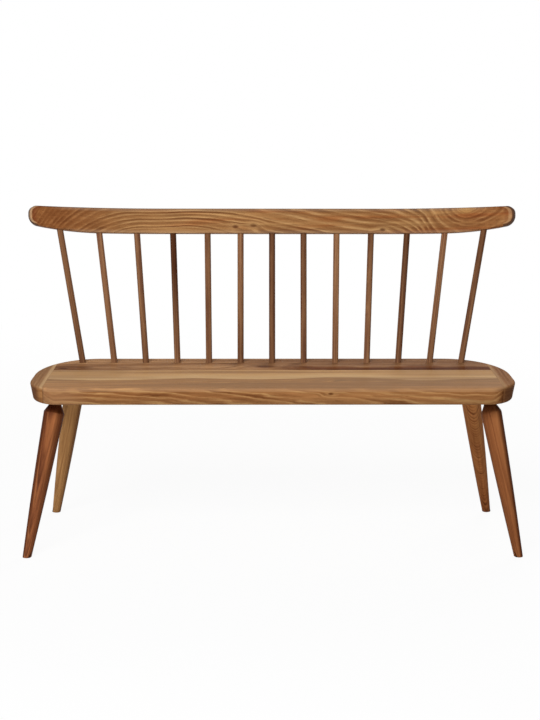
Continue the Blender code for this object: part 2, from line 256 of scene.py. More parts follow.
def store(piece, name, kind, values):
    """Keeps one value for each corner as a named attribute."""
    layer = piece.data.attributes.new(name, kind, "POINT")
    for item, value in zip(layer.data, values):
        setattr(item, "value" if kind == "FLOAT" else "vector", value)


def aim(direction):
    """Turn that points +Z along a direction."""
    return direction.to_track_quat("Z", "Y").to_matrix().to_4x4()


def upright(direction):
    """Turn that points +Z along a direction and keeps +Y to the back."""
    up = direction.normalized()
    across = Vector((0, 1, 0)).cross(up).normalized()
    return Matrix((across, up.cross(across), up)).transposed().to_4x4()


# Reading the frame

def corners_of(node):
    """The places of a CAD node's corners, each once."""
    places = {tuple(round(c, 6) for c in vert.co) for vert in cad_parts[node].data.vertices}
    return [Vector(place) for place in sorted(places)]


def mean(places):
    return sum(places, Vector()) / len(places)


def ends_of(node):
    """Middle of the lower and of the upper end of a turned CAD piece."""
    places = corners_of(node)
    level = mean(places).z
    upper = mean([place for place in places if place.z > level])
    axis = (upper - mean([place for place in places if place.z <= level])).normalized()
    reach = [place.dot(axis) for place in places]
    ends = []
    for limit in (min(reach), max(reach)):
        ends.append(mean([place for place, far in zip(places, reach) if abs(far - limit) < FIT]))
    return ends


def foot_of(node):
    """Middle of a leg's sole."""
    places = corners_of(node)
    floor = min(place.z for place in places)
    return mean([place for place in places if place.z < floor + NEAR])


def span(*nodes):
    """Lowest and highest corners round several CAD nodes."""
    boxes = [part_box(node) for node in nodes]
    low = Vector(min(box[0][i] for box in boxes) for i in range(3))
    high = Vector(max(box[1][i] for box in boxes) for i in range(3))
    return low, high


SEAT_LOW, SEAT_HIGH = span("seat_rear_board", "seat_front_board", "end_cap_left", "end_cap_right")
SEAT_MIDDLE = (SEAT_LOW + SEAT_HIGH) / 2
BOARD_JOINT = (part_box("seat_front_board")[1].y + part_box("seat_rear_board")[0].y) / 2
CAP_JOINT = (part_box("seat_rear_board")[1].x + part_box("end_cap_right")[0].x) / 2


# Turned pieces

def turned(name, stations, sides):
    """A disc drawn up from station to station. Each is a (height, radius) along +Z."""
    height, radius = stations[0]
    bpy.ops.mesh.primitive_circle_add(
        vertices=sides, radius=radius, fill_type="NGON", location=(0, 0, height)
    )
    piece = new_piece(name)
    edit(piece)
    for (height, radius), (next_height, next_radius) in zip(stations, stations[1:]):
        draw_out(0, 0, next_height - height)
        share = next_radius / radius
        bpy.ops.transform.resize(value=(share, share, 1), center_override=(0, 0, next_height))
    leave()
    tidy_mesh(piece)
    return piece


def leg_stations(length, shoulder_round):
    """A leg from below the floor up to the end of its tenon, which meets the seat at length."""
    shoulder = length - LEG_NECK_LENGTH - LEG_SHOULDER_LENGTH
    cone = math.atan2(LEG_WIDEST_RADIUS - LEG_NECK_RADIUS, LEG_SHOULDER_LENGTH)
    taper_top = shoulder - shoulder_round * math.tan(cone / 2)
    stations = [(-2 * LEG_FOOT_RADIUS, LEG_FOOT_RADIUS)]
    for step in range(LEG_TAPER_STEPS):
        share = step / LEG_TAPER_STEPS
        radius = LEG_FOOT_RADIUS + (LEG_WIDEST_RADIUS - LEG_FOOT_RADIUS) * share
        stations.append((taper_top * share, radius + LEG_SWELL * math.sin(math.pi * share)))
    for step in range(SHOULDER_STEPS + 1):
        angle = cone * step / SHOULDER_STEPS
        radius = LEG_WIDEST_RADIUS - shoulder_round * (1 - math.cos(angle))
        stations.append((taper_top + shoulder_round * math.sin(angle), radius))
    stations.append((length - LEG_NECK_LENGTH, LEG_NECK_RADIUS))
    stations.append((length + LEG_TENON_DEPTH - FIT, LEG_NECK_RADIUS))
    return stations


def shape_leg(node, foot, axis):
    """One leg on the axis of its CAD node, trimmed level at the floor. Gives it and its stand."""
    length = axis.length - LEG_TENON_DEPTH + FIT
    leg = turned("shaped_" + node, leg_stations(length, LEGS[node]), LEG_SIDES)
    stand = Matrix.Translation(foot) @ upright(axis)
    leg.data.transform(stand)
    edit(leg)
    cut(foot, (0, 0, 1), clear=True)
    pick_edges_on(leg, foot, (0, 0, 1))
    bevel(FOOT_CHAMFER, 2)
    leave()
    tidy_mesh(leg)
    return leg, stand


def spindle_stations(length, room):
    """A spindle of that length between the seat and the rail, with its two tapered tenons."""
    shaft = SPINDLE_RADIUS + room
    tip = SPINDLE_TIP_RADIUS + room
    return [
        (FIT - SPINDLE_SEAT_DEPTH - room, tip),
        (0, shaft),
        (SPINDLE_END_RUN, shaft),
        (length - SPINDLE_END_RUN, shaft),
        (length, shaft),
        (length + SPINDLE_RAIL_DEPTH - FIT + room, tip),
    ]


def spindle_places():
    """For each spindle, the turn and stretch that fit the middle one between its sockets."""
    tenons = SPINDLE_SEAT_DEPTH + SPINDLE_RAIL_DEPTH - 2 * FIT
    low, high = ends_of(MIDDLE_SPINDLE)
    length = (high - low).length - tenons
    places = []
    for name in SPINDLES:
        low, high = ends_of(name)
        axis = high - low
        stretch = Matrix.Scale(axis.length / (length + tenons), 4, (0, 0, 1))
        drop = Matrix.Translation((0, 0, SPINDLE_SEAT_DEPTH - FIT))
        places.append(Matrix.Translation(low) @ aim(axis) @ stretch @ drop)
    return length, places


# Seat

def seat_blank():
    """The whole seat before it is sawn: a plane with elliptical corners, drawn down."""
    bpy.ops.mesh.primitive_plane_add(size=1, location=(SEAT_MIDDLE.x, SEAT_MIDDLE.y, SEAT_HIGH.z))
    bpy.context.object.scale = (SEAT_HIGH.x - SEAT_LOW.x, SEAT_HIGH.y - SEAT_LOW.y, 1)
    seat = new_piece("seat_blank")
    edit(seat)
    drawn = REAR_SWEEP[0]
    bevel(drawn, SEAT_CORNER_STEPS, "VERTICES")
    for across in (SEAT_LOW.x, SEAT_HIGH.x):
        for depth, (wide, deep) in ((SEAT_LOW.y, FRONT_CORNER), (SEAT_HIGH.y, REAR_SWEEP)):
            corner = Vector((across, depth, SEAT_HIGH.z))
            pick(seat, "verts", lambda vert: max(abs(c) for c in vert.co - corner) < drawn + NEAR)
            share = (wide / drawn, deep / drawn, 1)
            bpy.ops.transform.resize(value=share, center_override=corner)

    pick_all()
    draw_out(0, 0, -SEAT_TOP_ROUND)
    draw_out(0, 0, SEAT_LOW.z - SEAT_HIGH.z + SEAT_TOP_ROUND + SEAT_BOTTOM_ROUND)
    half = SEAT_HIGH - SEAT_MIDDLE
    undercut = (1 - SEAT_UNDERCUT / half.x, 1 - SEAT_UNDERCUT / half.y, 1)
    bpy.ops.transform.resize(value=undercut, center_override=SEAT_MIDDLE)
    draw_out(0, 0, -SEAT_BOTTOM_ROUND)
    turn_outwards()
    for level, radius in ((SEAT_HIGH, SEAT_TOP_ROUND), (SEAT_LOW, SEAT_BOTTOM_ROUND)):
        pick_edges_on(seat, level, (0, 0, 1))
        bevel(radius - NEAR, ROUND_STEPS)
        mark_round(seat)
    leave()
    tidy_mesh(seat)
    return seat


def sawn(blank, node, planes):
    """One board or cap: a copy of the blank, sawn along planes given as (place, inward)."""
    piece = copied(blank, "shaped_" + node)
    edit(piece)
    for place, inward in planes:
        cut(place, inward, clear=True)
    for place, inward in planes:
        pick_edges_on(piece, place, inward)
        bevel(JOINT_ARRIS, 1)
    leave()
    return piece


def shape_seat():
    """The two boards and the two end caps, sawn from one blank."""
    blank = seat_blank()
    saw = FIT / 2
    right_end = ((CAP_JOINT - saw, 0, 0), (-1, 0, 0))
    left_end = ((saw - CAP_JOINT, 0, 0), (1, 0, 0))
    ahead = ((0, BOARD_JOINT - saw, 0), (0, -1, 0))
    behind = ((0, BOARD_JOINT + saw, 0), (0, 1, 0))
    cuts = {
        "seat_rear_board": [right_end, left_end, behind],
        "seat_front_board": [right_end, left_end, ahead],
        "end_cap_left": [((-CAP_JOINT - saw, 0, 0), (-1, 0, 0))],
        "end_cap_right": [((CAP_JOINT + saw, 0, 0), (1, 0, 0))],
    }
    pieces = {node: sawn(blank, node, planes) for node, planes in cuts.items()}
    throw_away(blank)
    return pieces


# Crest rail

def rail_line(along):
    """Centre line of the bent rail: across and forward at a length along it."""
    straight = RAIL_STRAIGHT_LENGTH / 2
    turn = max(abs(along) - straight, 0) / RAIL_BEND_RADIUS
    across = min(abs(along), straight) + RAIL_BEND_RADIUS * math.sin(turn)
    return math.copysign(across, along), RAIL_BEND_RADIUS * (1 - math.cos(turn))


def rail_sweep(along):
    """Rise of the lower edge towards the rail's ends."""
    run = max(abs(along) - RAIL_LENGTH / 2 + RAIL_SWEEP_LENGTH, 0)
    return RAIL_SWEEP_RADIUS - math.sqrt(RAIL_SWEEP_RADIUS ** 2 - run ** 2)


def bend_line():
    """Curve that the straight blank is bent along, from the rail's left end."""
    line = bpy.data.curves.new("bend_line", "CURVE")
    line.dimensions = "3D"
    line.twist_mode = "Z_UP"
    spline = line.splines.new("POLY")
    spline.points.add(BEND_POINTS)
    for step, point in enumerate(spline.points):
        across, forward = rail_line(RAIL_LENGTH * (step / BEND_POINTS - 0.5))
        point.co = (across, -forward, 0, 1)
    return set_out("bend_line", line)


def is_rim(edge):
    """Whether an edge parts a broad face of the blank from its edge band."""
    broad = [abs(face.normal.y) > 0.9 for face in edge.link_faces]
    return any(broad) and not all(broad)


def shape_rail():
    """The rail in its own frame: a plane cut to outline, thickened, rounded and bent."""
    bpy.ops.mesh.primitive_plane_add(size=1, rotation=(math.pi / 2, 0, 0))
    bpy.context.object.scale = (RAIL_LENGTH, RAIL_HEIGHT, 1)
    rail = new_piece("shaped_crest_rail")
    edit(rail)
    lift = (RAIL_LENGTH / 2, -RAIL_THICKNESS / 2, RAIL_HEIGHT / 2)
    bpy.ops.transform.translate(value=lift)
    for level, radius in ((0, RAIL_BOTTOM_CORNER), (RAIL_HEIGHT, RAIL_TOP_CORNER)):
        pick(rail, "verts", lambda vert: abs(vert.co.z - level) < NEAR)
        bevel(radius, RAIL_CORNER_STEPS, "VERTICES")
    for station in range(1, RAIL_STATIONS):
        cut((RAIL_LENGTH * station / RAIL_STATIONS, 0, 0), (1, 0, 0))
    mesh = bmesh.from_edit_mesh(rail.data)
    half = RAIL_HEIGHT / 2
    for along in sorted({round(vert.co.x, 4) for vert in mesh.verts}):
        rise = rail_sweep(along - RAIL_LENGTH / 2)
        if rise > 0:
            pick(rail, "verts", lambda vert: round(vert.co.x, 4) == along and vert.co.z < half)
            bpy.ops.transform.translate(value=(0, 0, rise))
    for row in range(1, RAIL_ROWS):
        cut((0, 0, RAIL_HEIGHT * row / RAIL_ROWS), (0, 0, 1))
    pick_all()
    draw_out(0, RAIL_THICKNESS, 0)
    turn_outwards()
    pick(rail, "edges", is_rim)
    bevel(RAIL_EDGE_ROUND, ROUND_STEPS)
    mark_round(rail)
    leave()
    guide = bend_line()
    apply_modifier(rail, "CURVE", object=guide, deform_axis="POS_X")
    throw_away(guide)
    tidy_mesh(rail)
    return rail


# Place along the rail, the rings its saw cut has passed at the top edge, and their height there
RAIL_GRAIN = [
    (-0.665, -1.5, 0.0170), (-0.620, 3.0, 0.0170), (-0.580, 6.2, 0.0165),
    (-0.540, 8.4, 0.0165), (-0.500, 9.9, 0.0160), (-0.460, 11.0, 0.0150),
    (-0.420, 11.6, 0.0125), (-0.380, 11.6, 0.0102), (-0.320, 11.5, 0.0099),
    (-0.220, 11.9, 0.0100), (-0.160, 11.9, 0.0115), (-0.090, 11.6, 0.0155),
    (-0.050, 11.35, 0.0175), (-0.010, 10.8, 0.0180), (0.160, 8.8, 0.0180),
    (0.245, 7.9, 0.0170), (0.300, 7.3, 0.0165), (0.340, 6.8, 0.0165),
    (0.377, 5.8, 0.0170), (0.410, 4.9, 0.0190), (0.445, 3.7, 0.0340),
    (0.600, 0.0, 0.0370),
]
GRAIN_EASE = 0.02

# The log's heart, at the right of the rail: its place along and up the rail, its ring widths to
# the left, to the right and downwards, and how its rings spread, blend in and come to a point
HEART = (0.526, 0.068)
HEART_RING = (0.0080, 0.0118, 0.0058)
HEART_EASE = 4.0
HEART_SPREAD = 5.0
HEART_START = 2.8
HEART_BLEND = (0.40, 0.48)
HEART_POINT = 1.6

# Ring width from the rail's front to its back
RING_DEPTH = 0.013


def part_of_way(value, start, end):
    """How far a value has come from start to end, from 0 to 1."""
    return min(max((value - start) / (end - start), 0), 1)


def table_value(table, place, column):
    """Value of a table's column at a place, between its rows."""
    for (start, *low), (end, *high) in zip(table, table[1:]):
        if place < end:
            share = part_of_way(place, start, end)
            return low[column] * (1 - share) + high[column] * share
    return table[-1][column + 1]


def rail_grain(along, column):
    """Value of the rail's grain table, eased over a short length."""
    steps = [GRAIN_EASE * step for step in (-1, -0.5, 0, 0.5, 1)]
    return sum(table_value(RAIL_GRAIN, along + step, column) for step in steps) / len(steps)


def rail_rings(place):
    """How many growth rings lie between the log's heart and a place in the rail's frame."""
    along, depth, height = place
    straight = RAIL_STRAIGHT_LENGTH / 2
    run = min(max(abs(along) - straight, 0) / RAIL_BEND_RADIUS, 1)
    forward = RAIL_BEND_RADIUS * (1 - math.sqrt(1 - run * run))
    behind = depth + forward + RAIL_THICKNESS / 2
    below = RAIL_HEIGHT - height
    flame = rail_grain(along, 0) + below / rail_grain(along, 1)
    left, right, down = HEART_RING
    aside = along - HEART[0]
    across = abs(aside) / (left if aside < 0 else right)
    under = abs(HEART[1] - height) / down
    heart = (across ** HEART_POINT + under ** HEART_POINT) ** (1 / HEART_POINT)
    heart = HEART_SPREAD * math.log(1 + heart / HEART_EASE) - HEART_START
    share = part_of_way(along, *HEART_BLEND)
    share = share * share * (3 - 2 * share)
    return flame * (1 - share) + heart * share + behind / RING_DEPTH


# Working in shaders

class Signal:
    """A number, place or colour on its way through a shader. Its sums add Math nodes."""

    def __init__(self, tree, socket):
        self.tree = tree
        self.socket = socket

    def __add__(self, other):
        return maths("ADD", self, other)

    def __sub__(self, other):
        return maths("SUBTRACT", self, other)

    def __mul__(self, other):
        return maths("MULTIPLY", self, other)

    def __truediv__(self, other):
        return maths("DIVIDE", self, other)

    def __abs__(self):
        return maths("ABSOLUTE", self)


def wire(value, socket):
    """Links a signal to a socket, or sets the socket to a plain value."""
    if isinstance(value, Signal):
        value.tree.links.new(value.socket, socket)
    else:
        socket.default_value = value


def node(tree, kind, inputs=None, **settings):
    """Adds a node. Its inputs go by name or number."""
    made = tree.nodes.new("ShaderNode" + kind)
    for key, value in settings.items():
        setattr(made, key, value)
    for key, value in (inputs or {}).items():
        wire(value, made.inputs[key])
    return made


def signal(tree, kind, output, inputs=None, **settings):
    """Adds a node and gives one of its outputs."""
    return Signal(tree, node(tree, kind, inputs, **settings).outputs[output])


def attribute(tree, name, output="Fac"):
    return signal(tree, "Attribute", output, attribute_name=name)


def tree_of(*values):
    """The tree of the first signal among some values."""
    return next(value.tree for value in values if isinstance(value, Signal))


def maths(operation, *values, kind="Math", output=0):
    """Works out one operation on signals and plain values."""
    inputs = dict(enumerate(values))
    return signal(tree_of(*values), kind, output, inputs, operation=operation)


def vector_maths(operation, *values):
    output = "Value" if operation in ("LENGTH", "DOT_PRODUCT") else "Vector"
    return maths(operation, *values, kind="VectorMath", output=output)


def split(place):
    """The X, Y and Z of a place."""
    parts = node(place.tree, "SeparateXYZ", {"Vector": place})
    return [Signal(place.tree, part) for part in parts.outputs]


def ranged(value, low, high, start=0.0, end=1.0):
    """Goes from start at low to end at high, easing at both. Low may be the greater one."""
    inputs = {"Value": value, "From Min": low, "From Max": high, "To Min": start, "To Max": end}
    return signal(value.tree, "MapRange", 0, inputs, interpolation_type="SMOOTHSTEP")


def linear(level):
    """Linear value of one sRGB level from 0 to 255."""
    share = level / 255
    return share / 12.92 if share <= 0.04045 else ((share + 0.055) / 1.055) ** 2.4


def paint(*levels):
    """Colour given as three sRGB levels."""
    return [linear(level) for level in levels] + [1.0]


def mixed(share, first, second, kind="MIX"):
    """Mixes two colours, each a signal or three sRGB levels."""
    tree = tree_of(share, first, second)
    first, second = [paint(*side) if isinstance(side, tuple) else side for side in (first, second)]
    inputs = {0: share, 6: first, 7: second}
    return signal(tree, "Mix", 2, inputs, data_type="RGBA", blend_type=kind)


def tinted(colour, *levels):
    """A colour multiplied by another, which is given as three sRGB levels."""
    return mixed(1.0, colour, levels, "MULTIPLY")


def stained(share, colour, *levels):
    """A colour that is tinted as far as the share says."""
    return mixed(share, colour, tinted(colour, *levels))


def noise(place, waves, detail=2.0, roughness=0.5):
    """Noise with so many waves to the metre along each axis of the log."""
    scaled = vector_maths("MULTIPLY", place, waves)
    inputs = {"Vector": scaled, "Scale": 1.0, "Detail": detail, "Roughness": roughness}
    return signal(place.tree, "TexNoise", "Fac", inputs)


GROUPS = {}
SOCKET_KINDS = {1: "NodeSocketFloat", 3: "NodeSocketVector", 4: "NodeSocketColor"}


def new_group(name, inputs, outputs):
    """A node group whose sockets take their kinds from their default values.
    Gives its inputs as signals, and the sockets of its outputs."""
    tree = bpy.data.node_groups.new(name, "ShaderNodeTree")
    GROUPS[name] = tree
    for way, sockets in (("INPUT", inputs), ("OUTPUT", outputs)):
        for socket_name, value in sockets.items():
            kind = SOCKET_KINDS[len(value) if isinstance(value, tuple) else 1]
            socket = tree.interface.new_socket(socket_name, in_out=way, socket_type=kind)
            socket.default_value = value
    source = tree.nodes.new("NodeGroupInput").outputs
    sink = tree.nodes.new("NodeGroupOutput").inputs
    return {output.name: Signal(tree, output) for output in source}, sink


def use_group(tree, name, **inputs):
    """Places a group and gives its outputs. Input names have underscores for their spaces."""
    inputs = {key.replace("_", " "): value for key, value in inputs.items()}
    made = node(tree, "Group", inputs, node_tree=GROUPS[name])
    return {output.name: Signal(tree, output) for output in made.outputs}


# What makes the wood

NOWHERE = (0.0, 0.0, 0.0)
BLACK = (0.0, 0.0, 0.0, 1.0)


def growth_ring_group():
    """Dark porous lines where each year's growth starts, and the pale band before them."""
    source, sink = new_group(
        "growth_rings",
        {"Place": NOWHERE, "Count": 0.0, "Waver": 0.5},
        {"Line": 0.0, "Band": 0.0, "Ring Tone": 0.0},
    )
    place = source["Place"]
    slow = noise(place, (2.2, 12, 12), detail=1.0) - 0.5
    quick = noise(place, (13, 70, 70)) - 0.5
    waver = quick * 0.8 + slow
    count = waver * source["Waver"] + source["Count"]
    inputs = {"W": count, "Scale": 0.45, "Detail": 1.0}
    uneven = signal(place.tree, "TexNoise", "Fac", inputs, noise_dimensions="1D")
    count = uneven * 1.3 + count
    part = maths("FRACT", count)
    ring = maths("FLOOR", count)
    tone = signal(place.tree, "TexWhiteNoise", "Value", {"W": ring}, noise_dimensions="1D")
    line = ranged(part, 0.0, 0.22) * ranged(part, tone * 0.35 + 0.45, 0.16)
    patch = ranged(noise(place, (8, 55, 55)), 0.32, 0.64, 0.30, 1.0)
    line = line * ((tone * 0.65 + 0.35) * patch)
    fine = maths("FRACT", quick * 0.8 + count * 2.7)
    fine = ranged(fine, 0.0, 0.3) * ranged(fine, 0.8, 0.3)
    faint = ranged(noise(place, (11, 90, 90), detail=1.0), 0.42, 0.66, 0.0, 0.42)
    wire(maths("MAXIMUM", line, fine * faint), sink["Line"])
    wire(ranged(part, 0.50, 0.85) * patch * ranged(part, 1.0, 0.90), sink["Band"])
    wire(tone, sink["Ring Tone"])


def round_pith_group():
    """How many rings lie between a log's pith and a place in it."""
    source, sink = new_group(
        "rings_round_pith",
        {"Place": NOWHERE, "Pith": NOWHERE, "Ring Width": 0.006, "Pull": 0.0},
        {"Count": 0.0},
    )
    across = vector_maths("SUBTRACT", source["Place"], source["Pith"])
    across = vector_maths("MULTIPLY", across, (0, 1, 1))
    radius = vector_maths("LENGTH", across) + source["Pull"]
    wire(radius / source["Ring Width"], sink["Count"])


def fibre_group():
    """Fine structure along the grain: fibre streaks, open pores and broad figure."""
    source, sink = new_group(
        "fibres", {"Place": NOWHERE}, {"Streak": 0.0, "Pore": 0.0, "Figure": 0.0}
    )
    streak = noise(source["Place"], (7, 190, 190), detail=3.0, roughness=0.65)
    wire(ranged(streak, 0.35, 0.70), sink["Streak"])
    pore = noise(source["Place"], (110, 1900, 1900), detail=1.0)
    wire(ranged(pore, 0.60, 0.72), sink["Pore"])
    figure = noise(source["Place"], (1.6, 30, 30), detail=3.0)
    wire(ranged(figure, 0.32, 0.68), sink["Figure"])


def knot_group():
    """A small knot: a dark eye, and the pull that bends the rings round it."""
    source, sink = new_group(
        "knot",
        {"Place": NOWHERE, "Centre": NOWHERE, "Size": 0.006},
        {"Eye": 0.0, "Halo": 0.0, "Pull": 0.0},
    )
    away = vector_maths("SUBTRACT", source["Place"], source["Centre"])
    away = vector_maths("MULTIPLY", away, (0.55, 1, 1))
    reach = vector_maths("LENGTH", away) / source["Size"]
    wire(ranged(reach, 1.3, 0.35), sink["Eye"])
    wire(ranged(reach, 3.5, 1.0), sink["Halo"])
    wire(ranged(reach, 4.5, 0.4) * source["Size"], sink["Pull"])


def wood_group():
    """Colour, roughness and relief of oiled wood, from its lines, fibres and end grain."""
    colours = ["Pale", "Deep", "Line Colour", "End Colour", "Band Colour"]
    shares = [
        "Line Strength", "Line", "Band", "Ring Tone", "Streak", "Pore", "Figure", "End Grain", "Eye"
    ]
    source, sink = new_group(
        "oiled_wood",
        {**dict.fromkeys(colours, BLACK), **dict.fromkeys(shares, 0.0)},
        {"Colour": BLACK, "Roughness": 0.5, "Relief": 0.0},
    )
    line, pore, streak = source["Line"], source["Pore"], source["Streak"]
    line_colour = source["Line Colour"]
    body = (source["Ring Tone"] * 0.35 + source["Figure"]) / 1.35
    colour = mixed(body, source["Pale"], source["Deep"])
    colour = mixed(source["Band"] * 0.75, colour, source["Band Colour"])
    colour = mixed(line * source["Line Strength"], colour, line_colour)
    colour = mixed(streak * 0.32, colour, line_colour)
    colour = mixed(pore * (line * 0.45 + 0.2), colour, line_colour)
    colour = mixed(source["End Grain"], colour, source["End Colour"])
    colour = mixed(source["Eye"] * 0.9, colour, line_colour)
    wire(colour, sink["Colour"])
    wire(line * 0.06 + (pore * 0.12 + 0.46), sink["Roughness"])
    wire(streak * 0.12 + (line * -0.35 + (pore * -0.7 + 1.0)), sink["Relief"])


def end_grain_group():
    """How far a surface faces along the grain."""
    source, sink = new_group(
        "end_grain", {"Normal": (0.0, 0.0, 1.0), "Grain": (1.0, 0.0, 0.0)}, {"End Grain": 0.0}
    )
    facing = vector_maths("DOT_PRODUCT", source["Normal"], source["Grain"])
    wire(ranged(abs(facing), 0.35, 0.90), sink["End Grain"])


WOODS = {}


def wood_material(
    name, pale, deep, line, ring_width, line_strength, band=None, end=None, waver=0.6,
    line_fade=None, pith=None, grain=(1, 0, 0), end_strength=0.6, knots=(), gloss=0.02, shade=None
):
    """Makes an oiled wood, kept in WOODS. Its colours are given as sRGB levels.

    The pith is one place in the log, or a function that gives it for a place. Without a pith
    the rings come counted with the mesh. For a place, line_fade gives the share of the lines
    that is left, and shade, which takes the colour first, gives the colour anew.
    """
    material = bpy.data.materials.new(name)
    material.use_nodes = True
    tree = material.node_tree
    shader = tree.nodes["Principled BSDF"]
    place = attribute(tree, "log_place", "Vector")
    eye = halo = pull = 0.0
    for centre, size in knots:
        knot = use_group(tree, "knot", Place=place, Centre=centre, Size=size)
        eye = maths("MAXIMUM", knot["Eye"], eye)
        halo = maths("MAXIMUM", knot["Halo"], halo)
        pull = knot["Pull"] + pull
    if pith:
        centre = pith(place) if callable(pith) else pith
        inputs = {"Place": place, "Pith": centre, "Ring_Width": ring_width, "Pull": pull}
        count = use_group(tree, "rings_round_pith", **inputs)["Count"]
    else:
        count = attribute(tree, "ring_count") + pull / ring_width
    rings = use_group(tree, "growth_rings", Place=place, Count=count, Waver=waver)
    normal = signal(tree, "TexCoord", "Normal")
    ends = use_group(tree, "end_grain", Normal=normal, Grain=grain)
    lines, bands = rings["Line"], rings["Band"]
    if line_fade:
        fading = line_fade(place)
        lines, bands = lines * fading, bands * fading
    wood = use_group(
        tree,
        "oiled_wood",
        Pale=paint(*pale),
        Deep=paint(*deep),
        Line_Colour=paint(*line),
        End_Colour=paint(*(end or line)),
        Band_Colour=paint(*(band or pale)),
        Line_Strength=line_strength,
        Line=lines,
        Band=maths("MAXIMUM", bands, halo * 0.5),
        Ring_Tone=rings["Ring Tone"],
        End_Grain=ends["End Grain"] * end_strength,
        Eye=eye,
        **use_group(tree, "fibres", Place=place),
    )
    colour = wood["Colour"]
    if shade:
        colour = shade(colour, place)
    # Darker by each corner's tone: the spindles' own tone, and on the legs painted shade and shadow
    colour = stained(attribute(tree, "tone") * 0.84, colour, 140, 118, 106)
    wire(colour, shader.inputs["Base Color"])
    wire(wood["Roughness"], shader.inputs["Roughness"])
    relief = {"Strength": 0.5, "Distance": 0.0003, "Height": wood["Relief"]}
    wire(signal(tree, "Bump", "Normal", relief), shader.inputs["Normal"])
    shader.inputs["Specular IOR Level"].default_value = gloss
    WOODS[name] = material


def wandering_pith(start, end, first, last):
    """A pith that eases from one place to another between two lengths along the grain."""
    def pith(log_place):
        along = split(log_place)[0]
        depth = ranged(along, start, end, first[0], last[0])
        height = ranged(along, start, end, first[1], last[1])
        return signal(along.tree, "CombineXYZ", 0, {"Y": depth, "Z": height})
    return pith


# How the colour changes over each piece

# Coloured zones at the rail's ends, painted shade and a painted highlight among them: how far from
# the rail's middle the end's outline lies, how far its corners fall back, and how much further in
# the zones lie at the right end
END_OUTLINE = 0.659
END_CURVE = 0.022
RIGHT_END_SHIFT = 0.0085
# Each zone from the rail's end inwards: where it starts, is full, falls and ends, its colour
# and its strength
END_ZONES = [
    # Beyond the outline: the end face, its end grain deepened by painted shade
    (-0.060, -0.050, 0.0045, 0.0065, (84, 58, 42), 0.85),
    # A pale crescent on the rounded end: a painted highlight
    (0.0045, 0.0070, 0.0125, 0.0150, (204, 168, 128), 0.50),
    # A dark red band further in
    (0.0140, 0.0165, 0.0190, 0.0280, (112, 56, 32), 0.60),
]

# Front board: where the sapwood's front edge runs, how it waves and drifts along the board,
# and how it bows forward towards the ends
SAPWOOD_EDGE = -0.074
SAPWOOD_WIDTH = 0.060
SAPWOOD_WAVE = 0.010
SAPWOOD_WAVE_LENGTH = 0.405
SAPWOOD_CREST = -0.235
SAPWOOD_DRIFT = 0.024
BOW_MIDDLE = 0.06
BOW_REACH = 0.42
BOW_LIMIT = 0.70
BOW_DEPTH = 0.022

SEAT_GLOSS = 0.003


def rail_line_fade(place):
    """Softer lines towards the rail's ends, the left one above all."""
    along = split(place)[0]
    return ranged(along, -0.60, -0.32, 0.48, 1.0) * ranged(along, 0.36, 0.48, 1.0, 0.75)


def rail_shade(colour, place):
    """Crest rail: redder in patches and at its ends, golden at its heart, darker along its upper
    rim, with painted light making its top and bottom edges paler and greyer. At each end a dark
    outline is end grain deepened by painted shade, and a pale crescent is a painted highlight."""
    along, _, height = split(place)
    patch = noise(place, (4, 0, 58))
    inner = ranged(along, -0.44, -0.24)
    colour = stained(ranged(patch, 0.50, 0.66, 0.0, 0.75) * inner, colour, 242, 210, 190)
    colour = mixed(ranged(patch, 0.46, 0.32, 0.0, 0.196) * inner, colour, (202, 160, 104))
    colour = stained(ranged(along, -0.36, -0.58), colour, 224, 202, 190)
    colour = stained(ranged(along, 0.40, 0.56), colour, 242, 228, 218)
    heart = vector_maths("SUBTRACT", place, (HEART[0], 0, HEART[1]))
    heart = vector_maths("LENGTH", vector_maths("MULTIPLY", heart, (38, 0, 58)))
    colour = mixed(ranged(heart, 1.3, 0.3, 0.0, 0.55), colour, (192, 146, 86))
    upper_rim = attribute(place.tree, "rim") * ranged(height, 0.045, 0.060)
    colour = stained(upper_rim, colour, 216, 208, 200)
    off_ends = ranged(abs(along), 0.62, 0.54)
    # Painted light: the top and bottom edges paler and greyer, as lit round edges look, though the
    # bottom one faces down
    top_edge_highlight = ranged(height, 0.0570, 0.0650, 0.0, 0.12) * off_ends
    colour = mixed(top_edge_highlight, colour, (204, 188, 166))
    bottom_edge_light = ranged(height, 0.0120, 0.0020, 0.0, 0.15) * off_ends
    colour = mixed(bottom_edge_light, colour, (204, 180, 152))

    middle = (RAIL_HEIGHT + rail_sweep(RAIL_LENGTH / 2)) / 2
    curve = abs(height - middle) / (RAIL_HEIGHT - middle)
    curve = maths("POWER", maths("MINIMUM", curve, 1.0), 4.0)
    at_right = ranged(along, -0.1, 0.1)
    inset = curve * -END_CURVE + END_OUTLINE - abs(along)
    inset = at_right * -RIGHT_END_SHIFT + inset
    # The zones inside the outline, the painted highlight among them, fade towards the corners and
    # are weaker at the right end, away from the light
    inside = ranged(curve, 0.9, 0.5) * (at_right * -0.45 + 1.0)
    for start, full, fall, end, levels, strength in END_ZONES:
        share = ranged(inset, start, full) * ranged(inset, end, fall) * strength
        colour = mixed(share * inside if start > 0 else share, colour, levels)
    return colour


def top_streaks(colour, place, strength):
    """Long dark streaks along a board."""
    streak = ranged(noise(place, (1.3, 24, 30), roughness=0.6), 0.40, 0.64)
    return stained(streak * strength, colour, 158, 130, 110)


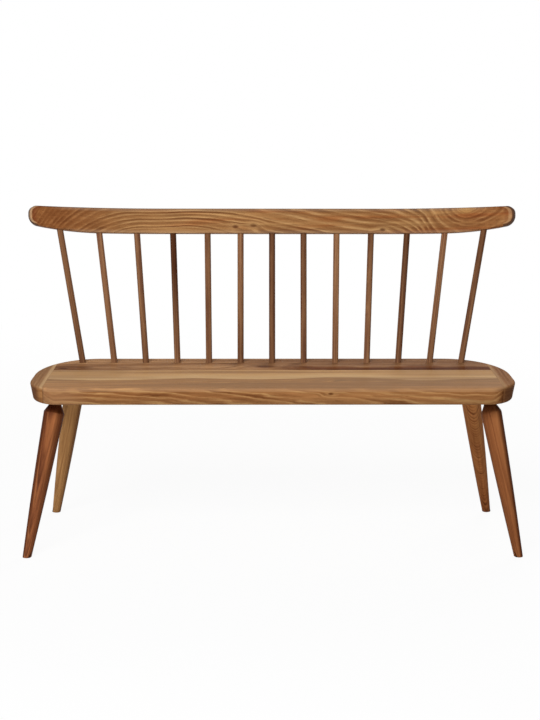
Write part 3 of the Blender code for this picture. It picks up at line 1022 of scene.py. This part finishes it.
def sapwood_shade(colour, place):
    """Front board: a wavy streak of sapwood between heartwood in front and tan wood behind, with a
    painted highlight along its front edge and painted shade towards its right corner.
    """
    along, depth, height = split(place)
    turn = maths("COSINE", (along - SAPWOOD_CREST) * (math.tau / SAPWOOD_WAVE_LENGTH))
    drift = noise(place, (6, 0, 0), detail=1.0) - 0.5
    edge = drift * SAPWOOD_DRIFT + (turn * SAPWOOD_WAVE + SAPWOOD_EDGE)
    bow = (along - BOW_MIDDLE) / BOW_REACH
    bow = maths("MINIMUM", bow * bow, BOW_LIMIT)
    behind = depth - (bow * -BOW_DEPTH + edge)
    on_top = ranged(height, 0.436, 0.4445)
    in_front = ranged(on_top, 1.0, 0.0)

    border = ranged(behind, -0.062, -0.036) * on_top
    heart = stained(border, tinted(colour, 251, 231, 201), 221, 221, 213)
    front = mixed(on_top, colour, heart)
    tan = mixed(0.50, colour, (206, 158, 97))
    sapwood = mixed(0.70, colour, (222, 187, 135))
    colour = mixed(ranged(behind, -0.004, 0.003), front, sapwood)
    past_sapwood = ranged(behind, SAPWOOD_WIDTH - 0.048, SAPWOOD_WIDTH + 0.010)
    colour = mixed(past_sapwood, colour, tan)
    near_ends = ranged(abs(along + 0.03), 0.33, 0.38)
    colour = stained(near_ends * past_sapwood * on_top, colour, 233, 230, 222)
    colour = top_streaks(colour, place, on_top * 0.8)

    # Painted highlight: paler along the top round and the top of the front face, where the front
    # edge catches the light
    rim = attribute(place.tree, "rim") * ranged(height, 0.41, 0.43)
    rim = maths("MAXIMUM", rim, ranged(height, 0.4335, 0.4385) * in_front)
    colour = mixed(rim * (on_top * 0.12 + 0.28), colour, (202, 164, 124))
    colour = stained(ranged(height, 0.424, 0.404), colour, 234, 240, 246)
    left_end = ranged(along, -0.44, -0.54, 0.0, 0.24) * in_front
    colour = mixed(left_end, colour, (172, 134, 100))
    # Painted shade: darker on the front face towards the right corner, which turns from the light
    right_end = ranged(along, 0.556, 0.592) * in_front
    return stained(right_end, colour, 196, 168, 150)


def rear_board_shade(colour, place):
    """Rear board: long streaks, and darker heartwood along the joint at its ends."""
    along, depth, _ = split(place)
    colour = top_streaks(colour, place, 0.55)
    wander = noise(place, (6, 0, 0), detail=3.0) - 0.5
    near_joint = ranged(wander * 0.09 + depth, 0.100, 0.070)
    left_end = ranged(along, -0.46, -0.54, 0.0, 0.6)
    dark = near_joint * maths("MAXIMUM", ranged(along, -0.10, 0.12), left_end)
    return stained(dark, colour, 176, 146, 128)


def cap_shade(colour, place):
    """End caps: pale beside the boards, golden end grain in front, and painted shade at the far
    corners, more at the right.
    """
    _, across, height = split(place)
    outside = abs(across) - CAP_JOINT
    at_right = ranged(across, 0.1, -0.1)
    colour = stained(at_right, colour, 234, 220, 206)
    below = ranged(height, 0.445, 0.436)
    strip = ranged(outside, 0.013, 0.005) * (at_right * -0.45 + 1.0) * ranged(below, 1.0, 0.0)
    colour = mixed(strip * 0.5, colour, (214, 178, 132))
    flame = ranged(noise(place, (30, 9, 110)), 0.36, 0.62)
    flame = mixed(flame, (160, 112, 68), (132, 87, 50))
    colour = mixed(below * 0.85, colour, flame)
    # Painted shade: the far corners darker where they turn from the light, more at the right
    far = ranged(at_right * 0.013 + outside, 0.005, 0.022)
    return mixed(far * below * 0.731, colour, (82, 48, 32))


def build_materials():
    for make_group in (
        growth_ring_group, round_pith_group, fibre_group, knot_group, wood_group, end_grain_group
    ):
        make_group()
    wood_material(
        "rail_wood", pale=(165, 119, 73), deep=(136, 91, 52), line=(92, 54, 28),
        band=(196, 154, 104), end=(74, 48, 30), ring_width=0.0100, waver=0.5,
        line_strength=0.95, line_fade=rail_line_fade, end_strength=0.9,
        knots=[((-0.100, -0.013, 0.018), 0.0050), ((-0.051, -0.013, 0.022), 0.0056),
               ((0.302, -0.013, 0.010), 0.0050)],
        shade=rail_shade,
    )
    wood_material(
        "seat_rear_wood", pale=(193, 146, 102), deep=(158, 117, 83), line=(96, 58, 38),
        ring_width=0.012, waver=1.6, line_strength=0.7, pith=(0, 0.10, 0.36),
        knots=[((-0.020, 0.082, 0.445), 0.018), ((-0.560, 0.056, 0.445), 0.008)],
        gloss=SEAT_GLOSS, shade=rear_board_shade,
    )
    wood_material(
        "seat_front_wood", pale=(167, 118, 73), deep=(141, 92, 54), line=(92, 52, 26),
        band=(190, 146, 94), ring_width=0.0098, waver=1.5, line_strength=0.85,
        pith=wandering_pith(-0.6, 0.6, (-0.09, 0.35), (-0.01, 0.33)),
        knots=[((0.145, -0.197, 0.430), 0.0040), ((0.175, -0.100, 0.445), 0.010)],
        gloss=SEAT_GLOSS, shade=sapwood_shade,
    )
    wood_material(
        "end_cap_wood", pale=(168, 127, 89), deep=(142, 102, 69), line=(104, 66, 42),
        end=(96, 58, 34), ring_width=0.009, waver=1.2, line_strength=0.52,
        pith=(0, 0.20, 0.42), grain=(0, 1, 0), end_strength=0.35,
        gloss=SEAT_GLOSS, shade=cap_shade,
    )
    wood_material(
        "spindle_wood", pale=(172, 128, 90), deep=(141, 101, 70), line=(92, 51, 41),
        ring_width=0.0058, waver=1.2, line_strength=0.85, pith=(0, 0.02, 0.03),
        grain=(0, 0.2, 0.97), end_strength=0.0,
    )
    for leg, (*look, low_pith, high_pith) in LEG_LOOKS.items():
        pith = wandering_pith(0.0, LEG_LOG_LENGTH, low_pith, high_pith)
        wood_material(leg + "_wood", *look, waver=0.7, pith=pith, grain=(0, 0, 1), end_strength=0.0)
    wood_material(
        "tongue_wood", pale=(206, 174, 132), deep=(188, 152, 112), line=(150, 112, 76),
        ring_width=0.003, line_strength=0.4, pith=(0, 0.05, 0.05),
    )


# Putting the bench together

SPINDLES = [f"spindle_{number:02d}" for number in range(1, 14)]
MIDDLE_SPINDLE = SPINDLES[6]
LEGS = {
    "leg_front_left": CRISP_SHOULDER,
    "leg_front_right": SOFT_SHOULDER,
    "leg_rear_left": SOFT_SHOULDER,
    "leg_rear_right": SOFT_SHOULDER,
}
SEAT_SLOTS = {
    "seat_rear_board": "seat_rear_wood",
    "seat_front_board": "seat_front_wood",
    "end_cap_left": "end_cap_wood",
    "end_cap_right": "end_cap_wood",
}

# Turn the length of a turned piece, +Z, and a cap's depth, +Y, into +X, along the grain
UP_TO_GRAIN = Matrix(((0, 0, 1, 0), (0, 1, 0, 0), (-1, 0, 0, 0), (0, 0, 0, 1)))
FRONT_TO_GRAIN = Matrix(((0, 1, 0, 0), (-1, 0, 0, 0), (0, 0, 1, 0), (0, 0, 0, 1)))

# How dark each spindle's wood is at the seat and at the rail, from the first to the last
SPINDLE_TONES = [
    (0.67, 0.60), (0.34, 0.05), (0.70, 0.30), (0.12, 1.65), (0.39, 0.65), (0.62, 0.14),
    (0.60, 0.90), (0.38, 0.71), (0.14, 0.20), (0.00, 0.85), (0.38, 1.03), (0.48, 0.06),
    (0.26, 0.90),
]
# How far along and how far round its log each spindle lies from the one before
SPINDLE_LOG_STEP = 0.7
SPINDLE_LOG_TURN = 1.9

# Each leg's pale, deep and line colours, its ring width and line strength, and its log's pith
# at the foot and at the log's length
LEG_LOG_LENGTH = 0.42
LEG_LOOKS = {
    "leg_front_left": (
        (176, 112, 68), (138, 80, 50), (64, 32, 22), 0.0025, 0.90, (0.040, -0.012), (0.034, -0.004)
    ),
    "leg_front_right": (
        (174, 113, 68), (154, 95, 56), (96, 50, 30), 0.0044, 0.30, (0.05, 0.040), (0.05, 0.040)
    ),
    "leg_rear_left": (
        (190, 142, 90), (168, 122, 76), (120, 80, 46), 0.0050, 0.45, (0.05, -0.060), (0.05, -0.060)
    ),
    "leg_rear_right": (
        (242, 170, 104), (216, 144, 86), (112, 60, 34), 0.0028, 0.90, (0.026, 0.0), (0.124, 0.0)
    ),
}

# Painted shade on each leg: how dark it is round its side, from -90 degrees at the left over the
# front to 90, at the head and at the foot. The dark sides stand for shade where the leg turns from
# the light, and a pale streak near the front is a painted highlight
LEG_PAINTED_SHADE = {
    "leg_front_left": (
        [(-90, 1.2), (-46, 1.1), (-32, 0.5), (-5, 0.6), (6, 0.4), (14, 0), (22, 0.45), (38, 0.8),
         (90, 1.2)],
        [(-90, 1.1), (-46, 1.0), (-36, 0.2), (-28, 0), (-18, 0.3), (20, 0.35), (40, 0.6),
         (90, 1.1)],
    ),
    "leg_front_right": (
        [(-90, 0.9), (-50, 0.5), (-10, 0.4), (10, 0.3), (20, 0), (28, 0.1), (38, 0.8), (50, 1.2),
         (90, 1.2)],
        [(-90, 1.0), (-50, 0.7), (-10, 0.5), (5, 0.4), (20, 0.5), (34, 1.0), (50, 1.2),
         (90, 1.2)],
    ),
    "leg_rear_left": ([(-90, 0.1), (0, 0.05), (35, 0.2), (50, 0.7), (90, 1.2)],) * 2,
    "leg_rear_right": (
        [(-90, 0.6), (-40, 0.46), (40, 0.46), (90, 0.7)],
        [(-90, 1.2), (-40, 1.1), (40, 1.1), (90, 1.2)],
    ),
}
# Painted shadow of the seat on each leg's shoulder and neck: how dark it is, and how short its ramp
# is on the crisp shoulder
NECK_PAINTED_SHADOW = 1.2
CRISP_NECK_EDGE = 0.002


def painted_leg_shade(name, place, length):
    """How dark a leg is painted at a place in its own frame: painted shade and highlight round its
    side, and the seat's painted shadow on its shoulder and neck.
    """
    angle = math.degrees(math.atan2(place.x, -place.y))
    if abs(angle) > 90:
        angle = math.copysign(180, angle) - angle
    head, foot = [table_value(table, angle, 0) for table in LEG_PAINTED_SHADE[name]]
    tone = foot + (head - foot) * part_of_way(place.z, 0, length)
    # The seat's painted shadow darkens the shoulder and the neck
    shoulder = length - LEG_NECK_LENGTH - LEG_SHOULDER_LENGTH
    ramp = CRISP_NECK_EDGE if LEGS[name] == CRISP_SHOULDER else LEG_SHOULDER_LENGTH
    neck = part_of_way(place.z, shoulder, shoulder + ramp)
    return tone + max(NECK_PAINTED_SHADOW - tone, 0) * neck


def add_leg(name, seat):
    """Turns one leg and bores its socket in the seat."""
    foot, head = foot_of(name), ends_of(name)[1]
    axis = head - foot
    length = axis.length - LEG_TENON_DEPTH
    leg, stand = shape_leg(name, foot, axis)
    back = stand.inverted()
    lay_grain(leg, UP_TO_GRAIN @ back, lambda place: painted_leg_shade(name, back @ place, length))
    stand_in(leg, name, "leg_wood", name + "_wood")
    neck = LEG_NECK_RADIUS + FIT
    drill = turned("leg_drill", [(0, neck), (LEG_TENON_DEPTH * 2, neck)], LEG_SIDES)
    drill.data.transform(Matrix.Translation(head + axis.normalized() * FIT) @ aim(-axis))
    bore(seat["seat_front_board" if "front" in name else "seat_rear_board"], drill)
    throw_away(drill)


def add_spindle(number, place, master, drill, seat, rail):
    """Sets one spindle between its two sockets."""
    name = SPINDLES[number]
    cutter = copied(drill, "spindle_drill")
    cutter.data.transform(place)
    bore(seat["seat_rear_board"], cutter)
    bore(rail, cutter)
    throw_away(cutter)
    spindle = copied(master, "shaped_" + name)
    spindle.data.transform(place)
    log = Matrix.Translation((number * SPINDLE_LOG_STEP, 0, 0)) @ UP_TO_GRAIN
    log = log @ Matrix.Rotation(number * SPINDLE_LOG_TURN, 4, "Z") @ place.inverted()
    low, high = SPINDLE_TONES[number]
    foot, head = [end.z for end in ends_of(name)]
    lay_grain(spindle, log, lambda at: low + (high - low) * (at.z - foot) / (head - foot))
    stand_in(spindle, name, "spindle_wood")


def build_bench():
    build_materials()
    length, places = spindle_places()
    master = turned("spindle", spindle_stations(length, 0), SPINDLE_SIDES)
    drill = turned("drill", spindle_stations(length, FIT), SPINDLE_SIDES)
    seat = shape_seat()
    for name in LEGS:
        add_leg(name, seat)

    rail = shape_rail()
    low, high = ends_of(MIDDLE_SPINDLE)
    lean = (high - low).normalized()
    rail_seat = high - lean * (SPINDLE_RAIL_DEPTH - FIT)
    tilt = Matrix.Translation(rail_seat) @ Matrix.Rotation(-math.atan2(lean.y, lean.z), 4, "X")
    rail.data.transform(tilt)
    for number, place in enumerate(places):
        add_spindle(number, place, master, drill, seat, rail)
    throw_away(master, drill)

    tidy_mesh(rail)
    to_log = tilt.inverted()
    lay_grain(rail, to_log)
    counts = [rail_rings(to_log @ vert.co) for vert in rail.data.vertices]
    store(rail, "ring_count", "FLOAT", counts)
    stand_in(rail, "crest_rail", "rail_wood")
    for name, piece in seat.items():
        tidy_mesh(piece)
        to_log = FRONT_TO_GRAIN if "cap" in name else Matrix.Identity(4)
        lay_grain(piece, to_log @ Matrix.Translation((0, -SEAT_MIDDLE.y, 0)))
        stand_in(piece, name, SEAT_SLOTS[name])
    for name in ("board_tongue", "cap_tongue_left", "cap_tongue_right"):
        give_wood(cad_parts[name], "tongue_wood")


# Studio

CAMERA_PLACE = (-0.04, -4.0273, 1.2557)
CAMERA_PITCH = 0.1915
CAMERA_YAW = math.atan(0.04 / 4.05)
CAMERA_ROLL = 0.0016
CAMERA_SHIFT = -2.5 / 720
SENSOR_WIDTH = 36
LENS = 77.35
AMBIENT = 0.24
FLOOR_SIZE = 60
FLOOR_GREY = (0.85, 0.85, 0.85, 1)
FLOOR_WHITENESS = 0.93
WHITE = (1, 1, 1, 1)
LAMP_TARGET = Vector((0, 0, 0.5))
LAMP_SIZE = (2.4, 1.6)
LAMPS = {"key": ((-1.2, -3.6, 3.0), 182), "back_fill": ((1.6, 3.4, 2.6), 75)}


def build_floor():
    """Pale floor. The camera sees it nearly white, with the bench's soft shadow on it."""
    bpy.ops.mesh.primitive_plane_add(size=FLOOR_SIZE)
    floor = new_piece("floor")
    material = bpy.data.materials.new("pale_floor")
    material.use_nodes = True
    tree = material.node_tree
    shader = tree.nodes["Principled BSDF"]
    shader.inputs["Base Color"].default_value = FLOOR_GREY
    shader.inputs["Roughness"].default_value = 0.9
    shader.inputs["Specular IOR Level"].default_value = 0.0
    away = vector_maths("LENGTH", signal(tree, "TexCoord", "Object"))
    share = seen_directly(tree) * ranged(away, 0.8, 3.5, FLOOR_WHITENESS, 1.0)
    white = signal(tree, "Emission", 0, {"Color": WHITE, "Strength": 1.0})
    inputs = {"Fac": share, 1: Signal(tree, shader.outputs[0]), 2: white}
    blend = signal(tree, "MixShader", 0, inputs)
    wire(blend, tree.nodes["Material Output"].inputs["Surface"])
    floor.data.materials.append(material)


def seen_directly(tree):
    """1 for what the camera, a reflection or glass shows, 0 for light on the bench."""
    rays = node(tree, "LightPath").outputs
    kinds = ("Is Camera Ray", "Is Glossy Ray", "Is Transmission Ray")
    camera, glossy, through = [Signal(tree, rays[kind]) for kind in kinds]
    return maths("MAXIMUM", maths("MAXIMUM", camera, glossy), through)


def build_world():
    """Dim grey light from all round. The camera and reflections see plain white."""
    world = bpy.data.worlds.new("studio")
    bpy.context.scene.world = world
    world.use_nodes = True
    tree = world.node_tree
    background = tree.nodes["Background"]
    wire(ranged(seen_directly(tree), 0.0, 1.0, AMBIENT, 1.0), background.inputs["Strength"])
    background.inputs["Color"].default_value = WHITE


def build_lamp(name, place, power):
    lamp = bpy.data.lights.new(name, "AREA")
    lamp.shape = "RECTANGLE"
    lamp.size, lamp.size_y = LAMP_SIZE
    lamp.energy = power
    holder = set_out(name, lamp)
    holder.location = place
    holder.rotation_euler = (LAMP_TARGET - Vector(place)).to_track_quat("-Z", "Y").to_euler()


def build_camera():
    camera = set_out("camera", bpy.data.cameras.new("camera"))
    camera.data.sensor_width = SENSOR_WIDTH
    camera.data.lens = LENS
    camera.data.shift_x = CAMERA_SHIFT
    camera.location = CAMERA_PLACE
    look = Euler((math.pi / 2 - CAMERA_PITCH, 0, -CAMERA_YAW)).to_matrix()
    camera.rotation_euler = (look @ Euler((0, 0, CAMERA_ROLL)).to_matrix()).to_euler()
    bpy.context.scene.camera = camera


build_bench()
build_floor()
build_world()
for lamp_name, (place, power) in LAMPS.items():
    build_lamp(lamp_name, place, power)
build_camera()
bpy.context.scene.view_settings.view_transform = "Standard"
